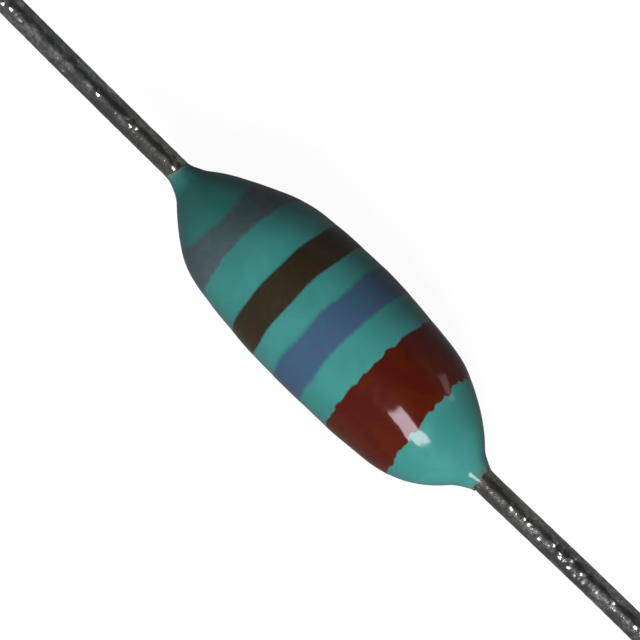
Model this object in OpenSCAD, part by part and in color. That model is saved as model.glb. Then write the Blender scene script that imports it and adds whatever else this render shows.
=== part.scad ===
// Axial inductor: a wound ferrite drum with glued and soldered leads, dipped in resin and banded.
// Every piece is drawn round the Z axis, its right end towards +Z, and then laid along X.
// The origin is on the axis at the middle of the core, and all sizes are in millimetres.

/* [Core] */
// Diameter of both flanges
core_d = 2.6; // [2.2:0.05:3.2]
// Length over both flanges
core_len = 6.2; // [5:0.1:8]
// Thickness of each flange
flange_t = 0.8; // [0.5:0.05:1.2]
// Diameter of the post between the flanges
post_d = 1.2; // [1:0.05:1.6]
// Chamfer on the rims of the flanges
rim_chamfer = 0.08; // [0.02:0.01:0.2]
// Depth of the lead socket in each end face
socket_depth = 1; // [0.5:0.1:1.8]
// Draft of the pressed socket: how much wider it is at its mouth, all round
socket_draft = 0.02; // [0.01:0.01:0.05]

/* [Winding] */
// Diameter of the wire over its enamel
wire_d = 0.13; // [0.1:0.01:0.18]
// Least gap between the winding and each flange
winding_end_gap = 0.1; // [0.05:0.05:0.3]
// How far the flanges stand proud of the winding, at least
winding_depth = 0.1; // [0.05:0.05:0.3]
// Gap round the wire in the notch of each flange
notch_gap = 0.085; // [0.04:0.005:0.15]
// Bend radius of the wire where it leaves the notch
wire_bend_r = 0.15; // [0.12:0.01:0.25]
// Turns of each wire end round its lead
wrap_turns = 3; // [2:1:5]
// Gap between a wrapped turn and the lead, and between two wrapped turns
wrap_gap = 0.01; // [0.01:0.005:0.03]

/* [Leads] */
// Diameter of the lead wire
lead_d = 0.6; // [0.45:0.05:0.7]
// How much thinner each lead is at its buried end, where it tapers to enter the socket
lead_taper = 0.02; // [0.01:0.01:0.05]
// Length of each lead outside the coating
lead_free = 28; // [5:1:40]

/* [Glue and solder] */
// Gap round the lead and under its end at the bottom of the socket, filled with glue
glue_gap = 0.05; // [0.02:0.01:0.1]
// Width of the glue collar on the end face, past the rim of the socket
collar_w = 0.12; // [0.05:0.01:0.2]
// Height of the glue collar
collar_h = 0.12; // [0.05:0.01:0.2]
// Gap between the glue collar and the solder
solder_gap = 0.08; // [0.04:0.01:0.2]
// Thickness of the solder over the wrapped turns
solder_t = 0.06; // [0.03:0.01:0.12]

/* [Coating] */
// Thickness of the coating over the flanges, measured at the crown of the barrel
coat_t = 0.53; // [0.4:0.01:0.8]
// Gap between the coating and the outer turns of the winding
coat_winding_gap = 0.02; // [0.01:0.01:0.05]
// Length of the coating along each lead, from the end face of the core
coat_reach = 2.2; // [1.9:0.05:3]
// Thickness of the coating on the lead, where it ends
film_t = 0.04; // [0.02:0.01:0.1]
// Radius of the long arc over the barrel
barrel_arc = 20; // [16:0.5:30]
// Radius of the left shoulder
left_shoulder_arc = 4.9; // [3:0.1:6]
// Radius of the right shoulder
right_shoulder_arc = 3.4; // [2.8:0.1:5]
// Radius of the hollow arc that runs out on each lead
meniscus_arc = 0.95; // [0.6:0.05:1.2]

/* [Bands] */
// Thickness of the paint
band_t = 0.02; // [0.01:0.005:0.05]
// Middle of the silver band
silver_at = -3.22; // [-3.6:0.02:-2.5]
// Width of the silver band
silver_w = 0.76; // [0.4:0.02:1]
// Middle of the brown band
brown_at = -1.3; // [-1.7:0.02:-1]
// Width of the brown band
brown_w = 0.88; // [0.4:0.02:1.2]
// Middle of the violet band
violet_at = 0.2; // [-0.2:0.02:0.6]
// Width of the violet band
violet_w = 0.92; // [0.4:0.02:1.2]
// Middle of the wide red band
red_at = 2.44; // [2.1:0.02:2.8]
// Width of the wide red band
red_w = 1.8; // [0.8:0.02:2]

/* [Hidden] */
$fn = 96;

// Core and sockets
core_r = core_d / 2;
core_end = core_len / 2;
flange_in = core_end - flange_t;
post_r = post_d / 2;
lead_r = lead_d / 2;
socket_r = lead_r + glue_gap;
socket_mouth_r = socket_r + socket_draft;
socket_end = core_end - socket_depth;

// Winding: layers nest in the hollows of the layer below, and an odd number ends at the far flange
wire_r = wire_d / 2;
layer_rise = wire_d * sin(60);
layers_that_fit = floor((core_r - winding_depth - post_r - wire_d) / layer_rise) + 1;
layers = layers_that_fit - (layers_that_fit + 1) % 2;
turns = floor(2 * (flange_in - winding_end_gap) / wire_d);
winding_end = turns * wire_d / 2;
bottom_layer_r = post_r + wire_r;
top_layer_r = bottom_layer_r + (layers - 1) * layer_rise;
winding_r = top_layer_r + wire_r;

// Wrapped wire ends, under the solder
wrap_r = lead_r + wire_r + wrap_gap;
wrap_pitch = wire_d + wrap_gap;
solder_toe = solder_t + wire_r;
solder_start = core_end + collar_h + solder_gap;
wrap_start = solder_start + solder_toe;
solder_end = wrap_start + wrap_turns * wrap_pitch + solder_toe;
solder_r = wrap_r + wire_r + solder_t;

// Steps that round arcs are drawn in
ridge_step = 30;
bead_step = 15;
wire_step = 20;
wire_sides = 8;
spiral_turn = 240;
outline_step = 0.12;

// Coating outline: centres of the barrel and meniscus arcs as [distance from the middle, radius]
coat_r = core_r + coat_t;
coat_end = core_end + coat_reach;
barrel_c = [0, coat_r - barrel_arc];
meniscus_c = [coat_end, lead_r + film_t + meniscus_arc];
left_shoulder = shoulder(left_shoulder_arc);
right_shoulder = shoulder(right_shoulder_arc);

silver = band_edges(silver_at, silver_w);
brown = band_edges(brown_at, brown_w);
violet = band_edges(violet_at, violet_w);
red = band_edges(red_at, red_w);
outline_stations = stations(sorted(concat([-coat_end, coat_end], silver, brown, violet, red)));

function band_edges(at, w) = [at - w / 2, at + w / 2];

function sorted(v) =
    len(v) < 2 ? v : concat(
        sorted([for (x = v) if (x < v[0]) x]), [v[0]], sorted([for (x = v) if (x > v[0]) x])
    );

// Stations at even steps between each cut and the next
function stations(cuts) = concat(
    [for (i = [1 : len(cuts) - 1])
        let (a = cuts[i - 1], b = cuts[i], n = ceil((b - a) / outline_step))
        for (k = [0 : n - 1]) a + (b - a) * k / n],
    [cuts[len(cuts) - 1]]
);

// Centre of the shoulder arc that is tangent to the barrel arc inside and the meniscus arc outside,
// then the distances from the middle at which it meets them
function shoulder(arc) =
    let (
        between = meniscus_c - barrel_c,
        d = norm(between),
        along = between / d,
        a = barrel_arc - arc,
        b = arc + meniscus_arc,
        t = (a * a - b * b + d * d) / (2 * d),
        c = barrel_c + along * t + [-along.y, along.x] * sqrt(a * a - t * t)
    )
    [c, c.x * barrel_arc / a, meniscus_c.x + (c.x - meniscus_c.x) * meniscus_arc / b];

// Radius of the coating at a distance z along the axis
function outline_r(z) =
    let (
        u = abs(z),
        arc = z < 0 ? left_shoulder_arc : right_shoulder_arc,
        s = z < 0 ? left_shoulder : right_shoulder
    )
    u < s[1] ? barrel_c.y + sqrt(barrel_arc * barrel_arc - u * u) :
    u < s[2] ? s[0].y + sqrt(arc * arc - (u - s[0].x) * (u - s[0].x)) :
    meniscus_c.y - sqrt(meniscus_arc * meniscus_arc - (u - meniscus_c.x) * (u - meniscus_c.x));

function polar(r, angle, z) = [r * cos(angle), r * sin(angle), z];

// Middle line of a wire end: out through the notch, round a bend, in along a spiral to the lead,
// and round the lead. tail_r is its radius in the notch.
function tail_path(tail_r) =
    let (
        bend_turn = wire_bend_r / tail_r * 180 / PI,
        spiral_from = 180 + bend_turn,
        spiral_z = core_end + wire_bend_r,
        spiral_steps = spiral_turn / wire_step,
        wrap_from = spiral_from + spiral_turn
    )
    concat(
        [polar(tail_r, 180, winding_end - wire_r)],
        [for (a = [0 : 22.5 : 90])
            polar(tail_r, 180 + bend_turn * (1 - cos(a)), core_end + wire_bend_r * sin(a))],
        [for (i = [1 : spiral_steps])
            let (t = i / spiral_steps, ease = t * t * (3 - 2 * t))
            polar(
                tail_r + (wrap_r - tail_r) * ease,
                spiral_from + spiral_turn * t,
                spiral_z + (wrap_start - spiral_z) * ease
            )],
        [for (a = [wire_step : wire_step : 360 * wrap_turns])
            polar(wrap_r, wrap_from + a, wrap_start + wrap_pitch * a / 360)]
    );

// Round wire along a path that winds about the Z axis
module wire(path) {
    last = len(path) - 1;
    points = [for (i = [0 : last])
        let (
            p = path[i],
            tangent = path[min(i + 1, last)] - path[max(i - 1, 0)],
            along = tangent / norm(tangent),
            outward = [p.x, p.y, 0] / norm([p.x, p.y]),
            square = outward - along * (outward * along),
            u = square / norm(square),
            v = cross(along, u)
        )
        for (k = [0 : wire_sides - 1])
            let (a = 360 * (k + 0.5) / wire_sides)
            p + wire_r * (u * cos(a) + v * sin(a))];
    sides = [for (i = [0 : last - 1], k = [0 : wire_sides - 1])
        let (a = i * wire_sides + k, b = i * wire_sides + (k + 1) % wire_sides)
        [a, a + wire_sides, b + wire_sides, b]];
    caps = [
        [for (k = [0 : wire_sides - 1]) k],
        [for (k = [wire_sides - 1 : -1 : 0]) last * wire_sides + k]
    ];
    polyhedron(points, concat(sides, caps));
}

module turned(outline) {
    rotate_extrude() polygon(outline);
}

module along_x() {
    rotate([0, 90, 0]) children();
}

module left_end() {
    mirror([0, 0, 1]) children();
}

// The pressed drum before its sockets: flanges, post and a notch down to the post in each flange
module core_blank() {
    half = [
        [post_r, flange_in], [core_r - rim_chamfer, flange_in], [core_r, flange_in + rim_chamfer],
        [core_r, core_end - rim_chamfer], [core_r - rim_chamfer, core_end], [0, core_end]
    ];
    other_half = [for (i = [len(half) - 1 : -1 : 0]) [half[i].x, -half[i].y]];
    notch_w = wire_d + 2 * notch_gap;
    difference() {
        turned(concat(half, other_half));
        for (z = [flange_in, -core_end])
            translate([-core_r - post_r, -notch_w / 2, z])
                cube([core_r, notch_w, flange_t]);
    }
}

module socket() {
    translate([0, 0, socket_end]) cylinder(r1 = socket_r, r2 = socket_mouth_r, h = socket_depth);
}

// Everything inside the glue's outer surface: the socket, and a collar round the lead on the end face
module glue_plug() {
    collar_r = socket_mouth_r + collar_w;
    collar = [for (a = [0 : bead_step : 90]) [
        lead_r + (collar_r - lead_r) * cos(a), core_end + collar_h * sin(a)
    ]];
    turned(concat(
        [[0, socket_end], [socket_r, socket_end], [socket_mouth_r, core_end]],
        collar,
        [[0, core_end + collar_h]]
    ));
}

// Everything inside the solder's outer surface
module solder_bead() {
    rise = [for (a = [0 : bead_step : 90]) [
        lead_r + (solder_r - lead_r) * sin(a), solder_toe * (1 - cos(a))
    ]];
    turned(concat(
        [[0, solder_start]],
        [for (p = rise) [p.x, solder_start + p.y]],
        [for (i = [len(rise) - 1 : -1 : 0]) [rise[i].x, solder_end - rise[i].y]],
        [[0, solder_end]]
    ));
}

// Plain wire outside the coating, tapering from there to its buried end
module lead() {
    start = socket_end + glue_gap;
    tip = coat_end + lead_free;
    turned([[0, start], [lead_r - lead_taper / 2, start], [lead_r, coat_end], [lead_r, tip], [0, tip]]);
}

module start_tail() {
    left_end() wire(tail_path(bottom_layer_r + wrap_gap));
}

module finish_tail() {
    wire(tail_path(top_layer_r));
}

module ferrite_core() {
    color([0.16, 0.16, 0.17]) along_x() difference() {
        core_blank();
        socket();
        left_end() socket();
    }
}

// The wound layers as one body with a rounded ridge for each outer turn, and the two wire ends
module winding() {
    ridges = [for (i = [0 : turns - 1], a = [-60 : ridge_step : 60]) [
        top_layer_r + wire_r * cos(a), -winding_end + wire_d * (i + 0.5) + wire_r * sin(a)
    ]];
    color([0.72, 0.36, 0.16]) along_x() {
        turned(concat(
            [[post_r, winding_end], [post_r, -winding_end], [ridges[0].x, -winding_end]],
            ridges,
            [[ridges[0].x, winding_end]]
        ));
        start_tail();
        finish_tail();
    }
}

module lead_left() {
    color([0.6, 0.6, 0.58]) along_x() left_end() lead();
}

module lead_right() {
    color([0.6, 0.6, 0.58]) along_x() lead();
}

module adhesive_left() {
    color([0.85, 0.75, 0.45]) along_x() left_end() difference() {
        glue_plug();
        lead();
    }
}

module adhesive_right() {
    color([0.85, 0.75, 0.45]) along_x() difference() {
        glue_plug();
        lead();
    }
}

module solder_left() {
    color([0.75, 0.75, 0.76]) along_x() difference() {
        left_end() solder_bead();
        left_end() lead();
        start_tail();
    }
}

module solder_right() {
    color([0.75, 0.75, 0.76]) along_x() difference() {
        solder_bead();
        lead();
        finish_tail();
    }
}

// The resin fills everything inside its outline that the other pieces leave free
module coating() {
    color([0.23, 0.51, 0.49]) along_x() difference() {
        turned(concat(
            [[0, -coat_end]],
            [for (z = outline_stations) [outline_r(z), z]],
            [[0, coat_end]]
        ));
        core_blank();
        cylinder(r = winding_r + coat_winding_gap, h = 2 * flange_in, center = true);
        for (side = [0, 1]) mirror([0, 0, side]) {
            glue_plug();
            solder_bead();
            lead();
        }
        start_tail();
        finish_tail();
    }
}

module band(edges) {
    under = [for (z = outline_stations) if (z >= edges[0] && z <= edges[1]) [outline_r(z), z]];
    over = [for (i = [len(under) - 1 : -1 : 0]) [under[i].x + band_t, under[i].y]];
    turned(concat(under, over));
}

module band_silver() {
    color([0.23, 0.3, 0.3]) along_x() band(silver);
}

module band_brown() {
    color([0.19, 0.16, 0.12]) along_x() band(brown);
}

module band_violet() {
    color([0.25, 0.36, 0.46]) along_x() band(violet);
}

module band_red() {
    color([0.33, 0.12, 0.07]) along_x() band(red);
}

ferrite_core();
winding();
lead_left();
lead_right();
adhesive_left();
adhesive_right();
solder_left();
solder_right();
coating();
band_silver();
band_brown();
band_violet();
band_red();
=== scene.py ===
import bpy
import numpy as np
from mathutils import Matrix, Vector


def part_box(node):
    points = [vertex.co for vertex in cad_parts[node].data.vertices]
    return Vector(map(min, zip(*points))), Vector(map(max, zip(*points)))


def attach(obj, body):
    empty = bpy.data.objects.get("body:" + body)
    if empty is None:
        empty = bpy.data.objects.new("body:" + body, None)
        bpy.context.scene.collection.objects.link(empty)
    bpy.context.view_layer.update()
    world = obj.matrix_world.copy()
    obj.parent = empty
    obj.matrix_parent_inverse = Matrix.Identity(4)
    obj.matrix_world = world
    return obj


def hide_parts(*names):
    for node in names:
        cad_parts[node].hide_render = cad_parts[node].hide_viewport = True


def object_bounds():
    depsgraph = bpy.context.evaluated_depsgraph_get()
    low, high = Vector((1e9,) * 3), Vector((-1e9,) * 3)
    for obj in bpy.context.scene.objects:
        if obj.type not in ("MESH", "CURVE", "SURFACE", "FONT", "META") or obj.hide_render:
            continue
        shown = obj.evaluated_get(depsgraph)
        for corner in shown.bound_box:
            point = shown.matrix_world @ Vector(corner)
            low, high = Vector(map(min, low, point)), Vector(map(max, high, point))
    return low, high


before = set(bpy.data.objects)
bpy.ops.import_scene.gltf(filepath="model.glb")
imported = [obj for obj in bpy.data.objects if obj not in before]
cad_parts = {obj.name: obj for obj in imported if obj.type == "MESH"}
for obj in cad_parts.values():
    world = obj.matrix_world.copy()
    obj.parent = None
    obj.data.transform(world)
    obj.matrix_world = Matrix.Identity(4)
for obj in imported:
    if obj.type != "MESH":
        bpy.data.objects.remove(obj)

# Shapes are worked out in millimetres round the X axis and go into the meshes in metres.
# An angle is measured from +Y towards +Z.
mm = 0.001
cadLow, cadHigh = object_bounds()


def boxOf(node):
    low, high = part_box(node)
    return np.array(low) / mm, np.array(high) / mm


def fromScreen(red, green, blue):  # a colour as the screen shows it, 0 to 255, in linear light
    shown = np.array([red, green, blue]) / 255
    linear = np.where(shown < 0.04045, shown / 12.92, ((shown + 0.055) / 1.055) ** 2.4)
    return (*linear.tolist(), 1.0)


# Quads between neighbouring rows and columns of a grid of points. The last column joins the first, and in
# a ring the last row joins the first.
def gridFaces(rows, cols, ring=False):
    i = np.arange(rows if ring else rows - 1)[:, None]
    j = np.arange(cols)[None, :]
    below, right = (i + 1) % rows, (j + 1) % cols
    corners = [i * cols + j, i * cols + right, below * cols + right, below * cols + j]
    return np.stack([np.broadcast_to(c, (i.size, j.size)) for c in corners], -1).reshape(-1, 4)


# The angles of a whole turn, as one row.
def wholeTurn(count):
    return 2 * np.pi * np.arange(count)[None, :] / count


# Triangles from one ring of points to a pole.
def poleFaces(ringStart, cols, pole, flip=False):
    j = np.arange(cols)
    a, b = ringStart + j, ringStart + (j + 1) % cols
    return np.stack([b, a, np.full(cols, pole)] if flip else [a, b, np.full(cols, pole)], -1)


# A mesh of points, quads and triangles, with a value at each point for every attribute.
def makePiece(name, points, quads, triangles=None, attributes=None):
    triangles = np.zeros((0, 3), int) if triangles is None else triangles
    mesh = bpy.data.meshes.new(name)
    mesh.vertices.add(len(points))
    mesh.vertices.foreach_set("co", (points * mm).astype(np.float32).ravel())
    corners = np.concatenate([quads.ravel(), triangles.ravel()]).astype(np.int32)
    sizes = np.concatenate([np.full(len(quads), 4), np.full(len(triangles), 3)])
    mesh.loops.add(len(corners))
    mesh.loops.foreach_set("vertex_index", corners)
    mesh.polygons.add(len(sizes))
    mesh.polygons.foreach_set("loop_start", (np.cumsum(sizes) - sizes).astype(np.int32))
    mesh.polygons.foreach_set("use_smooth", np.ones(len(sizes), bool))
    mesh.update(calc_edges=True)
    for label, values in (attributes or {}).items():
        layer = mesh.attributes.new(label, "FLOAT", "POINT")
        layer.data.foreach_set("value", values.astype(np.float32).ravel())
    mesh.validate()
    piece = bpy.data.objects.new(name, mesh)
    bpy.context.scene.collection.objects.link(piece)
    return piece


# Gives a piece its material, hangs it on the root body and hides the nodes it replaces.
def place(piece, material, slot, *nodes):
    piece.data.materials.append(material)
    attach(piece, "root")
    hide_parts(*nodes)


def smoothStep(t):  # 3t^2 - 2t^3, from 0 to 1
    t = np.clip(t, 0, 1)
    return t * t * (3 - 2 * t)


# A gentle uneven line or surface: a sum of sines round the axis and along it, with seeded phases.
# Each wave goes a whole number of times round, so that the seam closes.
def waves(angle, along, seed, count, size, turnRange, length):
    draw = np.random.default_rng(seed)
    total = 0 * angle + 0 * along
    for _ in range(count):
        turns = draw.integers(turnRange[0], turnRange[1] + 1)
        pitch = draw.uniform(*length) * draw.choice([-1, 1])
        total = total + np.sin(turns * angle + 2 * np.pi * along / pitch + draw.uniform(0, 2 * np.pi))
    return size * total / np.sqrt(count / 2)


# A shader node: each input is a value or a socket to link.
def addNode(tree, kind, inputs=None, **settings):
    node = tree.nodes.new(kind)
    for name, value in settings.items():
        setattr(node, name, value)
    for name, value in (inputs or {}).items():
        if isinstance(value, bpy.types.NodeSocket):
            tree.links.new(value, node.inputs[name])
        else:
            node.inputs[name].default_value = value
    return node


def mixColours(tree, factor, first, second):  # sockets 6 and 7 are the colours, output 2 the mix
    return addNode(tree, "ShaderNodeMix", {0: factor, 6: first, 7: second}, data_type="RGBA").outputs[2]


def mathNode(tree, operation, first, second):
    return addNode(tree, "ShaderNodeMath", {0: first, 1: second}, operation=operation).outputs[0]


def ramp(tree, value, low, high, toLow=0.0, toHigh=1.0):  # eased from one value to another
    return addNode(
        tree, "ShaderNodeMapRange",
        {"Value": value, "From Min": low, "From Max": high, "To Min": toLow, "To Max": toHigh},
        interpolation_type="SMOOTHSTEP",
    ).outputs[0]


def noise(tree, vector, scale, detail=2.0, distortion=0.0):
    return addNode(
        tree, "ShaderNodeTexNoise",
        {"Vector": vector, "Scale": scale, "Detail": detail, "Distortion": distortion},
    ).outputs["Fac"]


def inMillimetres(tree, stretch=(1, 1, 1)):  # Object coordinates, so that a noise scale is per millimetre
    coordinates = addNode(tree, "ShaderNodeTexCoord").outputs["Object"]
    scale = tuple(s / mm for s in stretch)
    return addNode(tree, "ShaderNodeMapping", {"Vector": coordinates, "Scale": scale}).outputs[0]


# A node group with its input and output sockets, each label with its kind.
def newGroup(name, inputs, outputs):
    tree = bpy.data.node_groups.new(name, "ShaderNodeTree")
    for label, kind in inputs.items():
        tree.interface.new_socket(name=label, in_out="INPUT", socket_type="NodeSocket" + kind)
    for label, kind in outputs.items():
        tree.interface.new_socket(name=label, in_out="OUTPUT", socket_type="NodeSocket" + kind)
    return tree, addNode(tree, "NodeGroupInput").outputs, addNode(tree, "NodeGroupOutput").inputs


def useGroup(tree, group, inputs):
    return addNode(tree, "ShaderNodeGroup", inputs, node_tree=group).outputs


# A material with a Principled shader and its constant inputs.
def newMaterial(name, **constants):
    material = bpy.data.materials.new(name)
    material.use_nodes = True
    tree = material.node_tree
    shader = tree.nodes["Principled BSDF"]
    for label, value in constants.items():
        shader.inputs[label.replace("_", " ")].default_value = value
    return material, tree, shader


def bumpInto(tree, shader, height, depth):  # depth in millimetres
    bump = addNode(tree, "ShaderNodeBump", {"Height": height, "Distance": depth * mm, "Strength": 1.0})
    tree.links.new(bump.outputs[0], shader.inputs["Normal"])


def attributeOf(tree, name):
    return addNode(tree, "ShaderNodeAttribute", attribute_name=name).outputs["Fac"]


view = {
    "distance": 300.0,       # from the object, in mm
    "fieldWidth": 15.18,     # what the picture's 640 pixels span at the object, in mm
    "tilt": 7.5,             # the right lead rises towards the camera by this many degrees
    "roll": 0.34,            # turn of the picture, in degrees
    "centre": (-0.311, -0.086),  # middle of the picture: along the axis and across it, in mm
}

tilt, roll = np.radians(view["tilt"]), np.radians(view["roll"])
towardCamera = np.array([np.sin(tilt), 0, np.cos(tilt)])
axisSeen = np.array([np.cos(tilt), 0, -np.sin(tilt)])
across = np.array([0.0, 1.0, 0.0])
diagonal = np.pi / 4 + roll
imageRight = axisSeen * np.cos(diagonal) + across * np.sin(diagonal)
imageUp = across * np.cos(diagonal) - axisSeen * np.sin(diagonal)


# Puts a camera or lamp at a spot, turned so that it looks along its -Z axis.
def standAt(thing, spot, xAxis, yAxis, zAxis):
    turn = Matrix([*zip(xAxis, yAxis, zAxis)]).to_4x4()
    thing.matrix_world = Matrix.Translation((spot * mm).tolist()) @ turn


lookAt = axisSeen * view["centre"][0] + across * view["centre"][1]
cameraData = bpy.data.cameras.new("camera")
cameraData.lens = cameraData.sensor_width * view["distance"] / view["fieldWidth"]
cameraData.clip_start = 0.01
camera = bpy.data.objects.new("camera", cameraData)
bpy.context.scene.collection.objects.link(camera)
standAt(camera, lookAt + towardCamera * view["distance"], imageRight, imageUp, towardCamera)
bpy.context.scene.camera = camera
bpy.context.scene.view_settings.view_transform = "Standard"

# Directions are given as the camera sees them: along the object, across it and towards the camera.
# The key light gives the shading alone, and the softbox the sharp highlight alone.
lamps = {
    "keyLight": {
        "towards": (0.46, -0.4, 0.79), "long": (0.72, 0.12, -0.68), "shows": "diffuse",
        "distance": 350.0, "length": 300.0, "width": 160.0, "strength": 12.5, "colour": (1, 1, 1),
    },
    "softbox": {
        "towards": (0.368, -0.39, 0.844), "long": (0.93, 0.0, -0.36), "shows": "glossy",
        "distance": 350.0, "length": 216.0, "width": 146.0, "strength": 11.8, "colour": (1, 0.84, 0.94),
    },
    "sideLight": {
        "towards": (0.38, 0.915, 0.13), "long": (1.0, -0.35, 0.0), "shows": "both",
        "distance": 350.0, "length": 115.0, "width": 135.0, "strength": 1.2, "colour": (1, 0.9, 0.95),
    },
}


def unit(vector):
    return vector / np.linalg.norm(vector)


def asSeen(direction):
    return unit(np.array(direction) @ np.array([axisSeen, across, towardCamera]))


for name, lamp in lamps.items():
    light = bpy.data.lights.new(name, "AREA")
    light.shape = "RECTANGLE"
    light.color = lamp["colour"]
    light.size, light.size_y = lamp["length"] * mm, lamp["width"] * mm
    light.energy = lamp["strength"] * np.pi * light.size * light.size_y
    holder = bpy.data.objects.new(name, light)
    bpy.context.scene.collection.objects.link(holder)
    holder.visible_camera = False
    holder.visible_diffuse = lamp["shows"] != "glossy"
    holder.visible_glossy = lamp["shows"] != "diffuse"
    back = asSeen(lamp["towards"])
    wide = asSeen(lamp["long"])
    wide = unit(wide - back * (wide @ back))
    standAt(holder, back * lamp["distance"], wide, np.cross(back, wide), back)

# A dim room with a darker strip of ceiling along the object, and white where the camera looks past the floor.
room = {
    "level": 0.16,
    "stripLevel": 0.045,
    "stripAt": 32.0,      # middle of the strip, in degrees from straight up towards +Y
    "stripHalf": 26.0,    # half its width, in degrees
    "edge": 10.0,         # half the width of its soft edges, in degrees
}

world = bpy.data.worlds.new("room")
bpy.context.scene.world = world
world.use_nodes = True
tree = world.node_tree
background = tree.nodes["Background"]
direction = addNode(tree, "ShaderNodeTexCoord").outputs["Generated"]
parts = addNode(tree, "ShaderNodeSeparateXYZ", {0: direction}).outputs
upright = addNode(tree, "ShaderNodeCombineXYZ", {1: parts[1], 2: parts[2]}).outputs[0]
upright = addNode(tree, "ShaderNodeVectorMath", {0: upright}, operation="NORMALIZE").outputs[0]
stripAt = np.radians(room["stripAt"])
pair = {0: upright, 1: (0, np.sin(stripAt), np.cos(stripAt))}
closeness = addNode(tree, "ShaderNodeVectorMath", pair, operation="DOT_PRODUCT").outputs["Value"]
level = ramp(
    tree, closeness, np.cos(np.radians(room["stripHalf"] + room["edge"])),
    np.cos(np.radians(room["stripHalf"] - room["edge"])), room["level"], room["stripLevel"],
)
seen = addNode(tree, "ShaderNodeLightPath").outputs["Is Camera Ray"]
tree.links.new(mathNode(tree, "MAXIMUM", level, seen), background.inputs["Strength"])
background.inputs["Color"].default_value = (1, 1, 1, 1)

floorLook = {
    "half": 2000.0,      # half its width, in mm
    "shade": 0.08,
    "glow": 0.95,        # white to the camera
    "reflected": 0.08,   # share of that glow that gloss and glass show, as the photo's resin shows little
}

square = np.array([[-1, -1, 0], [1, -1, 0], [1, 1, 0], [-1, 1, 0]])
corners = floorLook["half"] * square + [0, 0, cadLow[2] / mm]
floor = makePiece("floor", corners, np.array([[0, 1, 2, 3]]))
paper, tree, shader = newMaterial("paper", Roughness=1.0, Specular_IOR_Level=0.0)
shade = floorLook["shade"]
shader.inputs["Base Color"].default_value = (shade, shade, shade, 1)
shader.inputs["Emission Color"].default_value = (1, 1, 1, 1)
paths = addNode(tree, "ShaderNodeLightPath").outputs
mirrored = mathNode(tree, "MAXIMUM", paths["Is Glossy Ray"], paths["Is Transmission Ray"])
mirrored = mathNode(tree, "MULTIPLY", mirrored, floorLook["reflected"])
seen = mathNode(tree, "MAXIMUM", paths["Is Camera Ray"], mirrored)
tree.links.new(mathNode(tree, "MULTIPLY", seen, floorLook["glow"]), shader.inputs["Emission Strength"])
floor.data.materials.append(paper)
print("camera, lights and floor are ready")


coatHigh = boxOf("coating")[1]
resin = {
    "crown": coatHigh[2],        # largest radius
    "end": coatHigh[0],          # where the film ends on the lead
    "barrelArc": 20.0,
    "leftShoulderArc": 4.9,
    "rightShoulderArc": 3.4,
    "meniscusArc": 0.95,
    "film": 0.04,                # thickness on the lead, before it thins out
    "thinnest": 0.005,           # thickness at the film's edge
    "leadRadius": 0.3,
    "lobes": [(-3.6, 0.6, -0.1), (3.95, 0.65, -0.1), (0.0, 1.6, 0.03)],  # middle, width, sideways shift
    "sag": 0.25,                 # share of each shift that also goes down
    "swell": 0.008,              # the resin stands this much fuller than its solid
    "bead": (5.18, 0.16, 0.035),  # middle, width and height of the fuller upper side of the right run-out
    "ripple": {"seed": 11, "count": 14, "size": 0.004, "turnRange": (1, 5), "length": (1.2, 4.0)},
    "calm": 1.2,                 # over this length from the end, swell and ripple set in
    "edgeZone": 0.7,             # how far in from the end the slant reaches
    "thinning": 0.35,            # length over which the film thins out
    "filmWidth": 0.07,           # how far in the thin film's tint reaches
    "filmUneven": 0.8,           # how much farther or less far it reaches on the two sides
    "paintedShadeFrom": -1.9, "paintedShadeOver": 2.2,   # where the painted shade on the left shoulder starts, and its fade
    "rows": 300,
    "around": 256,
}
# Each end of the film: its mean shortfall, its slant, the angle where it is shortest, its raggedness, and the
# angle where the thin film's tint reaches farthest in.
filmEdges = {
    "left": {"shortfall": 0.05, "slant": 0.06, "slantAt": 0.0, "ragged": 0.015, "seed": 21, "thinAt": np.pi},
    "right": {"shortfall": 0.17, "slant": 0.03, "slantAt": 0.3, "ragged": 0.015, "seed": 22, "thinAt": 0.3},
}
# What the resin closes over, from the coil outwards.
hollow = {
    "coilRadius": 1.2, "flangeFrom": 2.3, "flangeRadius": 1.3, "flangeBevel": 0.08,
    "solderToe": 0.125,
    "arcStep": 15,           # degrees between the points of an arc
    "clearance": 0.0008,
}


# The shoulder arc is tangent to the barrel arc inside and to the meniscus arc outside. Its centre comes
# from the three centre distances, and it meets the others on the lines through the centres.
def shoulder(arc):
    barrelCentre = np.array([0, resin["crown"] - resin["barrelArc"]])
    hollowCentre = np.array([resin["end"], resin["leadRadius"] + resin["film"] + resin["meniscusArc"]])
    between = hollowCentre - barrelCentre
    d = np.linalg.norm(between)
    along = between / d
    a, b = resin["barrelArc"] - arc, arc + resin["meniscusArc"]
    t = (a * a - b * b + d * d) / (2 * d)
    centre = barrelCentre + along * t + np.array([-along[1], along[0]]) * np.sqrt(a * a - t * t)
    inner = centre[0] * resin["barrelArc"] / a
    outer = hollowCentre[0] + (centre[0] - hollowCentre[0]) * resin["meniscusArc"] / b
    return centre, inner, outer, barrelCentre, hollowCentre


# Radius of the resin at a distance x along the axis: barrel arc, shoulder arc, then hollow run-out.
def resinRadius(x):
    def side(u, arc):
        centre, inner, outer, barrelCentre, hollowCentre = shoulder(arc)
        barrel = barrelCentre[1] + np.sqrt(resin["barrelArc"] ** 2 - u**2)
        bulge = centre[1] + np.sqrt(np.maximum(arc**2 - (u - centre[0]) ** 2, 0))
        run = resin["meniscusArc"] ** 2 - (u - hollowCentre[0]) ** 2
        runOut = hollowCentre[1] - np.sqrt(np.maximum(run, 0))
        return np.where(u < inner, barrel, np.where(u < outer, bulge, runOut))

    u = np.minimum(np.abs(x), resin["end"])
    return np.where(x < 0, side(u, resin["leftShoulderArc"]), side(u, resin["rightShoulderArc"]))


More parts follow.
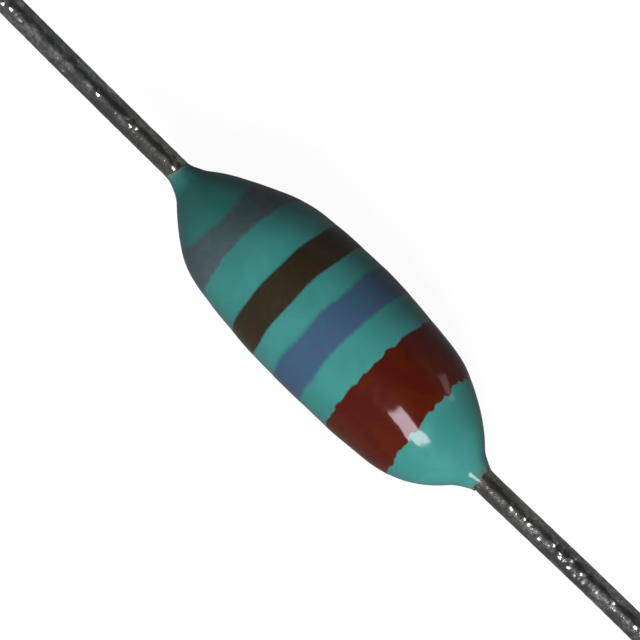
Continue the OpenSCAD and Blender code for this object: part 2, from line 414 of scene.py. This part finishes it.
def bell(x, middle, width):  # exp(-t^2 / 2), with t the distance from the middle over the width
    return np.exp(-(((x - middle) / width) ** 2) / 2)


# Point of the resin's surface, raised by a height: the radius with a slight ripple and a bead, round a middle
# line that shifts sideways at the lobes. Lobes and bead are bell curves along the axis.
def resinPoint(x, angle, height=0.0):
    radius = resinRadius(x)
    calm = smoothStep((resin["end"] - np.abs(x)) / resin["calm"])
    radius = radius + calm * (resin["swell"] + waves(angle, x, **resin["ripple"]))
    shift = sum(size * bell(x, middle, width) for middle, width, size in resin["lobes"])
    middle, width, size = resin["bead"]
    radius = radius + size * bell(x, middle, width) * np.maximum(np.sin(angle), 0) ** 2 + height
    return np.stack([
        x + 0 * angle, shift + radius * np.cos(angle), resin["sag"] * shift + radius * np.sin(angle)
    ], -1)


def paintedShoulderShade(x):  # how far the painted shade on the left shoulder has set in
    return smoothStep((resin["paintedShadeFrom"] - x) / resin["paintedShadeOver"])


# How far along the axis the film reaches at each angle: slanted and ragged.
def filmEnd(angle, edge):
    end = resin["end"] - edge["shortfall"] - edge["slant"] * np.cos(angle - edge["slantAt"])
    return end + waves(angle, 0 * angle, edge["seed"], 7, edge["ragged"], (2, 9), (1, 2))


# Half of the resin's inner profile, as rows of [distance along the axis, radius]: over the coil, the
# drum's bevelled flange, the glue collar as a quarter ellipse, and the solder with its rounded toes.
def hollowProfile():
    solderLow, solderHigh = boxOf("solder_right")
    glueHigh = boxOf("adhesive_right")[1]
    coreHigh = boxOf("ferrite_core")[1]
    lead, toe, bevel = resin["leadRadius"], hollow["solderToe"], hollow["flangeBevel"]
    flangeFrom, flangeRadius = hollow["flangeFrom"], hollow["flangeRadius"]
    arc = np.radians(np.arange(0, 91, hollow["arcStep"]))
    flange = [
        (flangeFrom, hollow["coilRadius"]),
        (flangeFrom, flangeRadius - bevel), (flangeFrom + bevel, flangeRadius),
        (coreHigh[0] - bevel, coreHigh[2]), (coreHigh[0], coreHigh[2] - bevel),
    ]
    collarLength, collarRise = glueHigh[0] - coreHigh[0], glueHigh[2] - lead
    collar = [(coreHigh[0] + collarLength * np.sin(a), lead + collarRise * np.cos(a)) for a in arc]
    rise = lead + (solderHigh[2] - lead) * np.sin(arc)
    solder = [(solderLow[0] + toe * (1 - np.cos(a)), r) for a, r in zip(arc, rise)]
    solder += [(solderHigh[0] - toe * (1 - np.cos(a)), r) for a, r in zip(arc[::-1], rise[::-1])]
    return np.array(flange + collar + solder + [(resin["end"] - resin["edgeZone"], lead)])


# The closed drop: its outside, the mouths at both film edges and its inner wall. Its attributes say how thin
# the film is near each end, as exp(-distance from its edge / width), and how far the painted shade on the
# left shoulder reaches.
def resinPiece():
    around, rows = resin["around"], resin["rows"]
    angle = wholeTurn(around)
    even = np.linspace(-1, 1, rows)[:, None]
    x = resin["end"] * even
    zone = resin["end"] - resin["edgeZone"]
    reach = np.where(even < 0, filmEnd(angle, filmEdges["left"]), filmEnd(angle, filmEdges["right"]))
    share = np.clip((np.abs(x) - zone) / resin["edgeZone"], 0, 1)
    x = np.sign(even) * np.where(share > 0, zone + share * (reach - zone), np.abs(x))
    thin = resin["thinning"] / resin["edgeZone"]
    drop = smoothStep((share - 1 + thin) / thin) * (resin["film"] - resin["thinnest"])
    outer = resinPoint(x, angle, -drop)
    thinAt = np.where(even < 0, filmEdges["left"]["thinAt"], filmEdges["right"]["thinAt"])
    filmWidth = resin["filmWidth"] * (1 + resin["filmUneven"] * np.cos(angle - thinAt))
    film = np.exp(-np.abs(reach - np.abs(x)) / filmWidth)
    # The shoulder attribute carries the painted shade that darkens the left shoulder.
    attributes = {
        "filmLeft": film * (even < 0), "filmRight": film * (even > 0), "shoulder": paintedShoulderShade(x)
    }
    section = hollowProfile()
    profile = np.concatenate([section[::-1], section * [-1, 1]])
    profile[:, 1] += hollow["clearance"]
    inner = np.stack([
        profile[:, :1] + 0 * angle, profile[:, 1:] * np.cos(angle), profile[:, 1:] * np.sin(angle)
    ], -1)
    bore = (resin["leadRadius"] + hollow["clearance"]) * np.stack([np.cos(angle[0]), np.sin(angle[0])], -1)
    mouths = [np.concatenate([outer[row, :, :1], bore], -1)[None] for row in (-1, 0)]
    points = np.concatenate([outer, mouths[0], inner, mouths[1]])
    hidden = np.zeros((len(points) - rows, around))
    attributes = {label: np.concatenate([values + 0 * angle, hidden]) for label, values in attributes.items()}
    return points.reshape(-1, 3), gridFaces(len(points), around, ring=True), attributes


# Teal resin: slow clouds between two tints, faint dust and an almost flat ripple.
cloudLimits, dustLimits = (0.35, 0.65), (0.62, 0.8)
resinTint, given, results = newGroup(
    "resinTint",
    {"Tint": "Color", "Deep tint": "Color", "Cloud scale": "Float", "Dust": "Float", "Dust scale": "Float",
     "Ripple scale": "Float"},
    {"Color": "Color", "Ripple": "Float"},
)
where = inMillimetres(resinTint)
cloud = ramp(resinTint, noise(resinTint, where, given["Cloud scale"], 3.0, 0.6), *cloudLimits)
dust = ramp(resinTint, noise(resinTint, where, given["Dust scale"]), *dustLimits)
dust = mathNode(resinTint, "MULTIPLY", dust, given["Dust"])
colour = mixColours(resinTint, cloud, given["Tint"], given["Deep tint"])
resinTint.links.new(mixColours(resinTint, dust, colour, given["Deep tint"]), results["Color"])
resinTint.links.new(noise(resinTint, where, given["Ripple scale"]), results["Ripple"])

tealLook = {
    "Tint": fromScreen(61, 134, 130), "Deep tint": fromScreen(54, 126, 121), "Cloud scale": 0.9,
    "Dust": 0.5, "Dust scale": 22.0, "Ripple scale": 1.4,
}
gloss = {"Roughness": 0.1, "IOR": 1.45}
rippleDepth = 0.012

# The thin film's tints at each end, and a painted shade that darkens the left shoulder.
filmTintsAndPaintedShade = {
    "shoulder": fromScreen(50, 115, 110),    # painted shade on the left shoulder
    "filmLeft": fromScreen(104, 128, 119),   # thin film over the tin, at each end
    "filmRight": fromScreen(96, 100, 86),
}


def resinColour(tree):  # the colour and ripple of the resin, with the thin film's tints and the painted shade on the left shoulder, also where paint covers it
    outputs = useGroup(tree, resinTint, tealLook)
    colour = outputs["Color"]
    for label, tint in filmTintsAndPaintedShade.items():
        colour = mixColours(tree, attributeOf(tree, label), colour, tint)
    return colour, outputs["Ripple"]


tealResin, tree, shader = newMaterial("tealResin", **gloss)
colour, ripple = resinColour(tree)
tree.links.new(colour, shader.inputs["Base Color"])
bumpInto(tree, shader, ripple, rippleDepth)

points, faces, attributes = resinPiece()
coating = makePiece("resin_coating", points, faces, attributes=attributes)
place(coating, tealResin, "coating", "coating")
print("the resin coating is dipped,", len(faces), "faces")


# Cover of the paint from 0 to 1: eased in from each edge, which wanders on a noise.
bandCover, given, results = newGroup(
    "bandCover",
    {"From left": "Float", "From right": "Float", "Left softness": "Float", "Right softness": "Float",
     "Wander": "Float", "Wander scale": "Float"},
    {"Cover": "Float"},
)
where = inMillimetres(bandCover)
drift = mathNode(bandCover, "SUBTRACT", noise(bandCover, where, given["Wander scale"], 3.0), 0.5)
drift = mathNode(bandCover, "MULTIPLY", drift, given["Wander"])
cover = None
for side in ("left", "right"):
    distance = mathNode(bandCover, "ADD", given["From " + side], drift)
    eased = ramp(bandCover, distance, 0.0, given[side.capitalize() + " softness"])
    cover = eased if cover is None else mathNode(bandCover, "MULTIPLY", cover, eased)
bandCover.links.new(cover, results["Cover"])

# For each band: its two colours with the scale and limits of the noise between them, the cover's softness,
# each edge's line as paintEdge reads it, the seed, size and turns of its waves, and its share of steps.
paints = {
    "silver": {
        "colour": fromScreen(74, 87, 94), "second": fromScreen(65, 86, 86), "patch": (2.5, 0.4, 0.62),
        "cover": {"Left softness": 0.18, "Right softness": 0.12, "Wander": 0.16, "Wander scale": 5.0},
        "leftLine": (0.12, 0.0, -0.3), "rightLine": (0.03, 0.0, 0.15),
        "left": (3, 0.016, (1, 8)), "right": (4, 0.012, (1, 8)), "steps": (0.0, 0.0),
    },
    "brown": {
        "colour": fromScreen(45, 39, 25), "second": fromScreen(57, 37, 28), "patch": (4.5, 0.45, 0.7),
        "cover": {"Left softness": 0.08, "Right softness": 0.08, "Wander": 0.04, "Wander scale": 9.0},
        "leftLine": (0.065, 0.0, 0.065), "rightLine": (0.005, 0.0, 0.05),
        "left": (5, 0.012, (1, 9)), "right": (6, 0.012, (1, 9)), "steps": (0.0, 0.0),
    },
    "violet": {
        "colour": fromScreen(53, 89, 110), "second": fromScreen(64, 80, 112), "patch": (5.5, 0.38, 0.66),
        "cover": {"Left softness": 0.16, "Right softness": 0.15, "Wander": 0.12, "Wander scale": 7.0},
        "leftLine": (0.09, 0.0, 0.03), "rightLine": (0.03, 0.0, 0.08),
        "left": (7, 0.014, (1, 8)), "right": (8, 0.014, (1, 8)), "steps": (0.0, 0.0),
    },
    "red": {
        "colour": fromScreen(74, 18, 9), "second": fromScreen(79, 25, 7), "patch": (1.2, 0.42, 0.62),
        "cover": {"Left softness": 0.05, "Right softness": 0.06, "Wander": 0.08, "Wander scale": 7.0},
        "leftLine": (0.03, 0.0, 0.03), "rightLine": (-0.025, -0.14, 0.0),
        "left": (9, 0.02, (3, 34)), "right": (10, 0.034, (5, 38)), "steps": (0.3, 0.45),
    },
}
# Every band's mesh and skin: its thickness, over what length it rises to that, how far its edge and its
# underside lie below the resin's surface, and the waves and the sharpness of the steps along its edges.
paintRun = {
    "around": 512, "across": 40, "thickness": 0.012, "fade": 0.15, "edgeUnder": 0.0005, "under": 0.006,
    "edgeWaves": 9, "sharpness": 2.5,
}


# A paint edge at each angle: its station, offset by mean + slant * cos a + bow * cos^2 a, plus a sum of sines
# that is flattened into steps where the edge is serrated.
def paintEdge(angle, station, line, wavering, steps):
    mean, slant, bow = line
    seed, size, turnRange = wavering
    wander = waves(angle, 0 * angle, seed, paintRun["edgeWaves"], 1.0, turnRange, (1, 2))
    station = station + mean + slant * np.cos(angle) + bow * np.cos(angle) ** 2
    return station + size * ((1 - steps) * wander + steps * np.tanh(paintRun["sharpness"] * wander))


# A closed skin of paint on the resin: its top rises from the resin at both edges, and its underside is just
# below. It reaches half of each edge's softness past the edge, where the paint fades out.
def paintPiece(name, paint):
    low, high = boxOf("band_" + name)
    around = paintRun["around"]
    angle = wholeTurn(around)
    leftSteps, rightSteps = paint["steps"]
    left = paintEdge(angle, low[0], paint["leftLine"], paint["left"], leftSteps)
    left = left - paint["cover"]["Left softness"] / 2
    right = paintEdge(angle, high[0], paint["rightLine"], paint["right"], rightSteps)
    right = right + paint["cover"]["Right softness"] / 2
    part = (1 - np.cos(np.pi * np.linspace(0, 1, paintRun["across"])[:, None])) / 2
    x = left + (right - left) * part
    fromLeft, fromRight = x - left, right - x
    rise = np.exp(-np.minimum(fromLeft, fromRight) / paintRun["fade"])
    height = paintRun["thickness"] * (1 - rise) - paintRun["edgeUnder"] * rise
    top = resinPoint(x, angle, height)
    lower = resinPoint(x[::-1], angle, -paintRun["under"])
    points = np.concatenate([top, lower])
    # The shoulder attribute carries the painted shade on the left shoulder, for the resin under the paint's
    # soft edges.
    attributes = {"fromLeft": fromLeft, "fromRight": fromRight, "shoulder": paintedShoulderShade(x)}
    attributes = {label: np.concatenate([values, values[::-1]]) for label, values in attributes.items()}
    return points.reshape(-1, 3), gridFaces(len(points), around, ring=True), attributes


for name, paint in paints.items():
    material, tree, shader = newMaterial(name + "Paint", **gloss)
    under, ripple = resinColour(tree)
    distances = {"From left": attributeOf(tree, "fromLeft"), "From right": attributeOf(tree, "fromRight")}
    cover = useGroup(tree, bandCover, {**paint["cover"], **distances})["Cover"]
    scale, low, high = paint["patch"]
    patch = ramp(tree, noise(tree, inMillimetres(tree), scale, 4.0, 0.8), low, high)
    colour = mixColours(tree, patch, paint["colour"], paint["second"])
    tree.links.new(mixColours(tree, cover, under, colour), shader.inputs["Base Color"])
    bumpInto(tree, shader, ripple, rippleDepth)
    points, faces, attributes = paintPiece(name, paint)
    band = makePiece("paint_" + name, points, faces, attributes=attributes)
    place(band, material, name + "_paint", "band_" + name)
print("four bands are painted")


leadLow, leadHigh = boxOf("lead_right")
wire = {
    "start": leadLow[0], "tip": leadHigh[0], "radius": leadHigh[2], "buriedRadius": 0.29,
    "bareFrom": resin["end"] - 0.4,                           # the close rows start under the film
    "bends": {"left": (-0.07, 3.0), "right": (0.185, 4.0)},   # most sideways shift, and how soon it comes
    "bendPower": 1.3,
    "straightFrom": 14.0,                                     # from here the wire comes back to the axis
    "step": 0.055, "around": 44, "buriedRows": 12,
    "tipZone": 0.06, "tipRows": np.array([0.05, 0.02, 0.0]),   # the last rows' distances from the tip
    "lumps": {"height": 0.002, "length": 0.3, "spread": 0.18, "most": 0.8, "fade": 0.3},   # in the tin
    "seeds": {"left": 31, "right": 32},
    "tinge": 1.2,                                # how far the resin's residue reaches along the wire
    "burr": 0.03, "burrLength": 0.05,            # how much the cut rounds the tip
    "shear": 0.1, "shearLength": 1.0,            # how far the cut leans
}


# Seeded noise with one main wavelength, made by filtering white noise in frequency: it closes round the wire.
def grainField(rows, cols, rowStep, colStep, length, spread, seed):
    white = np.random.default_rng(seed).standard_normal((rows, cols))
    rowWaves = np.fft.fftfreq(rows, rowStep)[:, None]
    colWaves = np.fft.fftfreq(cols, colStep)[None, :]
    cycles = np.hypot(rowWaves, colWaves) * length
    field = np.fft.ifft2(np.fft.fft2(white) * np.exp(-((cycles - 1) ** 2) / spread)).real
    return field / field.std()


# A wire round a middle line that leaves the axis gently and comes back to it by the tip. With s measured from
# the resin's end, shift = most * (1 - exp(-(s / length)^bendPower)) * (1 - smooth step to the tip).
def leadPiece(side):
    start, tip, bareFrom, around = wire["start"], wire["tip"], wire["bareFrom"], wire["around"]
    buried = np.linspace(start, bareFrom, wire["buriedRows"])[:-1]
    bare = np.arange(bareFrom, tip - wire["tipZone"], wire["step"])
    x = np.concatenate([buried, bare, tip - wire["tipRows"]])[:, None]
    rows = len(x)
    angle = wholeTurn(around)
    taper = np.clip((x - start) / (resin["end"] - start), 0, 1)
    radius = wire["buriedRadius"] + (wire["radius"] - wire["buriedRadius"]) * taper + 0 * angle
    lumps = wire["lumps"]
    arc = 2 * np.pi * wire["radius"] / around
    grain = grainField(rows, around, wire["step"], arc, lumps["length"], lumps["spread"], wire["seeds"][side])
    shown = smoothStep((x - bareFrom) / lumps["fade"]) * smoothStep((tip - x) / lumps["fade"])
    radius = radius + lumps["height"] * shown * np.minimum(grain, lumps["most"])
    radius = radius - wire["burr"] * smoothStep((x - tip + wire["burrLength"]) / wire["burrLength"])
    s = np.maximum(x - resin["end"], 0)
    most, length = wire["bends"][side]
    shift = most * (1 - np.exp(-((s / length) ** wire["bendPower"])))
    shift = shift * (1 - smoothStep((x - wire["straightFrom"]) / (tip - wire["straightFrom"])))
    nearTip = smoothStep((x - tip + wire["shearLength"]) / wire["shearLength"])
    slant = wire["shear"] * nearTip * (1 - np.cos(angle)) / 2
    points = np.stack([x - slant, shift + radius * np.cos(angle), radius * np.sin(angle)], -1).reshape(-1, 3)
    poles = np.array([[start, 0, 0], [tip - wire["shear"] / 2, 0, 0]])
    points = np.concatenate([points, poles])
    startCap = poleFaces(0, around, rows * around, flip=True)
    tipCap = poleFaces((rows - 1) * around, around, rows * around + 1)
    faces, caps = gridFaces(rows, around), np.concatenate([startCap, tipCap])
    residue = np.append(np.exp(-s / wire["tinge"]) + 0 * angle, [0, 0])
    if side == "left":  # a mirrored wire has its faces turned back
        points = points * [-1, 1, 1]
        faces, caps = faces[:, ::-1], caps[:, ::-1]
    return points, faces, caps, {"residue": residue}


# Tin: broad dull stains, a fine grain drawn out along the wire, and shiny round domes. A dome stands at the
# middle of a Voronoi cell, rises as an eased step of the distance to it, and only in the chosen share of
# cells.
tinShape = {
    "drawn": (0.7, 1, 1),            # less than 1 stretches the stains and the grain along the wire
    "stainLimits": (0.38, 0.62),
    "grainScale": 12.0, "grainLimits": (0.42, 0.58), "grainShare": 0.8,
    "domeReach": 0.42,               # from the middle of a cell, as a share of its width
    "domeRise": 1.5,                 # beside the lumps, which rise by up to 1
    "lumpScale": 5.5,
    "roughness": 0.25, "domeRoughness": 0.31,
}
tinSkin, given, results = newGroup(
    "tinSkin",
    {"Bright": "Color", "Dull": "Color",
     "Stain scale": "Float", "Dome scale": "Float", "Dome share": "Float"},
    {"Color": "Color", "Roughness": "Float", "Height": "Float"},
)
drawn = inMillimetres(tinSkin, tinShape["drawn"])
even = inMillimetres(tinSkin)
stain = ramp(tinSkin, noise(tinSkin, drawn, given["Stain scale"], 4.0, 0.5), *tinShape["stainLimits"])
grain = ramp(tinSkin, noise(tinSkin, drawn, tinShape["grainScale"], 4.0), *tinShape["grainLimits"])
grain = mathNode(tinSkin, "MULTIPLY", grain, tinShape["grainShare"])
cells = addNode(tinSkin, "ShaderNodeTexVoronoi", {"Vector": even, "Scale": given["Dome scale"]}).outputs
lot = addNode(tinSkin, "ShaderNodeSeparateColor", {"Color": cells["Color"]}).outputs[0]
chosen = mathNode(tinSkin, "LESS_THAN", lot, given["Dome share"])
dome = mathNode(tinSkin, "MULTIPLY", chosen, ramp(tinSkin, cells["Distance"], tinShape["domeReach"], 0.0))
colour = mixColours(tinSkin, stain, given["Bright"], given["Dull"])
tinSkin.links.new(mixColours(tinSkin, grain, colour, given["Dull"]), results["Color"])
roughness = ramp(tinSkin, dome, 0.0, 0.5, tinShape["roughness"], tinShape["domeRoughness"])
tinSkin.links.new(roughness, results["Roughness"])
lumps = noise(tinSkin, even, tinShape["lumpScale"], 4.0)
risen = mathNode(tinSkin, "MULTIPLY", dome, tinShape["domeRise"])
tinSkin.links.new(mathNode(tinSkin, "ADD", lumps, risen), results["Height"])

tinLook = {
    "Bright": fromScreen(212, 217, 214), "Dull": fromScreen(146, 151, 149), "Stain scale": 2.2,
    "Dome scale": 3.2,
}
domeShare = {"left": 0.8, "right": 0.95}
tinDepth = 0.022
residueTint = fromScreen(176, 172, 140)   # greenish brown, from the resin
residueShare = 0.35

for side in ("left", "right"):
    tinnedWire, tree, shader = newMaterial("tinnedWire" + side.capitalize(), Metallic=1.0)
    outputs = useGroup(tree, tinSkin, {**tinLook, "Dome share": domeShare[side]})
    residue = mathNode(tree, "MULTIPLY", attributeOf(tree, "residue"), residueShare)
    tree.links.new(mixColours(tree, residue, outputs["Color"], residueTint), shader.inputs["Base Color"])
    tree.links.new(outputs["Roughness"], shader.inputs["Roughness"])
    bumpInto(tree, shader, outputs["Height"], tinDepth)
    points, faces, caps, attributes = leadPiece(side)
    lead = makePiece("tinned_lead_" + side, points, faces, caps, attributes)
    place(lead, tinnedWire, "lead_wire", "lead_" + side)
print("both leads are tinned,", len(faces), "faces each")


coil = {
    "wire": 0.13, "post": 0.6, "turns": 33, "layers": 5,
    "samples": 24, "sides": 8,       # points in a turn, and round the wire
    "jog": 60.0,                     # the degrees in which a turn steps on to the next
    "bend": 0.15, "bendStep": 15,    # radius of a bend, and degrees between its points
    "spiral": 240.0, "spiralPoints": 12,
    "wraps": 3, "wrapGap": 0.01,
    "wrapStart": 3.425, "wrapStep": 20,   # where along the axis, and degrees between the points
    "coreEnd": boxOf("ferrite_core")[1][0],
}


# Middle line of a wire end: out through the notch, round a bend, in along an eased spiral to the lead and
# round the lead, as rows of [distance along the axis, angle in degrees, radius].
def wireEnd(radius):
    wrapRadius = wire["radius"] + coil["wire"] / 2 + coil["wrapGap"]
    turn = np.degrees(coil["bend"] / radius)
    a = np.radians(np.arange(0, 91, coil["bendStep"]))
    x = coil["coreEnd"] + coil["bend"] * np.sin(a)
    bend = np.stack([x, 180 + turn * (1 - np.cos(a)), radius + 0 * a], -1)
    t = np.arange(1, coil["spiralPoints"] + 1) / coil["spiralPoints"]
    ease = smoothStep(t)
    begin = coil["coreEnd"] + coil["bend"]
    x = begin + (coil["wrapStart"] - begin) * ease
    spiral = np.stack([x, 180 + turn + coil["spiral"] * t, radius + (wrapRadius - radius) * ease], -1)
    w = np.arange(coil["wrapStep"], 360 * coil["wraps"] + 1, coil["wrapStep"])
    x = coil["wrapStart"] + (coil["wire"] + coil["wrapGap"]) * w / 360
    wraps = np.stack([x, 180 + turn + coil["spiral"] + w, wrapRadius + 0 * w], -1)
    return np.concatenate([bend, spiral, wraps])


# The whole wire: each turn lies in the hollow between two turns below it and steps on to the next in its
# last sixth. Layers run to and fro, and every second one has a turn less.
def coilPath():
    d, turns = coil["wire"], coil["turns"]
    end = turns * d / 2
    stations, radii = [], []
    for layer in range(coil["layers"]):
        even = layer % 2 == 0
        count = turns if even else turns - 1
        row = -end + d * (np.arange(count) + (0.5 if even else 1.0))
        stations.append(row if even else row[::-1])
        radii.append(np.full(count, coil["post"] + d / 2 + layer * d * np.sin(np.pi / 3)))
    stations, radii = np.concatenate(stations), np.concatenate(radii)
    total = len(stations)
    stations, radii = np.append(stations, stations[-1]), np.append(radii, radii[-1])
    first, last = radii[0], radii[-1]
    turnIn, turnOut = np.degrees(coil["bend"] / first), np.degrees(coil["bend"] / last)
    degrees = np.linspace(turnIn, 360 * total - turnOut, total * coil["samples"])
    index = np.minimum((degrees // 360).astype(int), total - 1)
    move = smoothStep((degrees - 360 * index - 360 + coil["jog"]) / coil["jog"])
    x = stations[index] + (stations[index + 1] - stations[index]) * move
    r = radii[index] + (radii[index + 1] - radii[index]) * move
    body = np.stack([x, 180 + degrees, r], -1)
    a = np.radians(np.arange(0, 90, coil["bendStep"]))
    x = stations[0] - coil["bend"] * (1 - np.sin(a))
    into = np.stack([x, 180 + turnIn * (1 - np.cos(a)), first + 0 * a], -1)
    a = a[::-1]
    x = stations[-1] + coil["bend"] * (1 - np.sin(a))
    outOf = np.stack([x, 180 + 360 * total - turnOut * (1 - np.cos(a)), last + 0 * a], -1)
    startEnd = wireEnd(first + coil["wrapGap"])[::-1] * [-1, 1, 1]
    finishEnd = wireEnd(last) + [0, 360 * total, 0]
    return np.concatenate([startEnd, into, body, outOf, finishEnd])


# A round wire along that line. Round each point: middle + wire radius * (u cos a + v sin a), where u is
# the outward direction squared to the wire and v is square to both.
def coilPiece():
    x, degrees, r = coilPath().T
    a = np.radians(degrees)
    outward = np.stack([0 * x, np.sin(a), -np.cos(a)], -1)
    middle = np.stack([x, r * np.sin(a), -r * np.cos(a)], -1)
    tangent = np.gradient(middle, axis=0)
    tangent /= np.linalg.norm(tangent, axis=1, keepdims=True)
    u = outward - tangent * (outward * tangent).sum(1, keepdims=True)
    u /= np.linalg.norm(u, axis=1, keepdims=True)
    v = np.cross(tangent, u)
    rows, sides = len(x), coil["sides"]
    turn = 2 * np.pi * (np.arange(sides)[:, None] + 0.5) / sides
    points = middle[:, None] + coil["wire"] / 2 * (u[:, None] * np.cos(turn) + v[:, None] * np.sin(turn))
    points = np.concatenate([points.reshape(-1, 3), middle[:1], middle[-1:]])
    caps = np.concatenate([
        poleFaces(0, sides, rows * sides, flip=True), poleFaces((rows - 1) * sides, sides, rows * sides + 1)
    ])
    return points, gridFaces(rows, sides), caps


copperLook = {
    "first": (0.55, 0.2, 0.08, 1), "second": (0.42, 0.13, 0.05, 1),
    "scale": 3.0, "detail": 3.0, "limits": (0.35, 0.65),
}
glueLook = {
    "first": (0.68, 0.5, 0.2, 1), "second": (0.58, 0.38, 0.12, 1),
    "scale": 4.0, "detail": 3.0, "limits": (0.3, 0.7),
}
ferriteLook = {
    "first": (0.02, 0.02, 0.022, 1), "second": (0.045, 0.044, 0.046, 1),
    "scale": 14.0, "detail": 4.0, "limits": (0.35, 0.7), "pores": 20.0, "poreDepth": 0.006,
}
solderLook = {
    "Bright": (0.6, 0.6, 0.6, 1), "Dull": (0.4, 0.4, 0.4, 1), "Stain scale": 3.0, "Dome scale": 6.0,
    "Dome share": 0.2,
}
solderDepth = 0.008


# Puts a clouded colour into a shader: a noise mixes its two tones.
def clouded(tree, shader, look):
    tone = ramp(tree, noise(tree, inMillimetres(tree), look["scale"], look["detail"]), *look["limits"])
    tree.links.new(mixColours(tree, tone, look["first"], look["second"]), shader.inputs["Base Color"])


enamel, tree, shader = newMaterial(
    "enamelledCopper", Metallic=0.85, Roughness=0.22, Coat_Weight=1.0, Coat_Roughness=0.08
)
clouded(tree, shader, copperLook)
points, faces, caps = coilPiece()
winding = makePiece("wound_wire", points, faces, caps)
place(winding, enamel, "enamelled_wire", "winding")
print("the coil is wound,", len(faces), "faces")


# The core, the glue and the solder keep their solids and get their finish.
pressed, tree, shader = newMaterial("pressedFerrite", Roughness=0.6)
clouded(tree, shader, ferriteLook)
pores = noise(tree, inMillimetres(tree), ferriteLook["pores"], ferriteLook["detail"])
bumpInto(tree, shader, pores, ferriteLook["poreDepth"])

glue, tree, shader = newMaterial("clearGlue", Roughness=0.18, IOR=1.5)
clouded(tree, shader, glueLook)

solderTin, tree, shader = newMaterial("solderTin", Metallic=1.0)
outputs = useGroup(tree, tinSkin, solderLook)
tree.links.new(outputs["Color"], shader.inputs["Base Color"])
tree.links.new(outputs["Roughness"], shader.inputs["Roughness"])
bumpInto(tree, shader, outputs["Height"], solderDepth)

finishes = {
    "ferrite_core": pressed, "adhesive_left": glue, "adhesive_right": glue,
    "solder_left": solderTin, "solder_right": solderTin,
}
for name, material in finishes.items():
    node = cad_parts[name]
    if not node.material_slots:
        node.data.materials.append(material)
    for slot in node.material_slots:
        slot.material = material
print("core, glue and solder are finished")
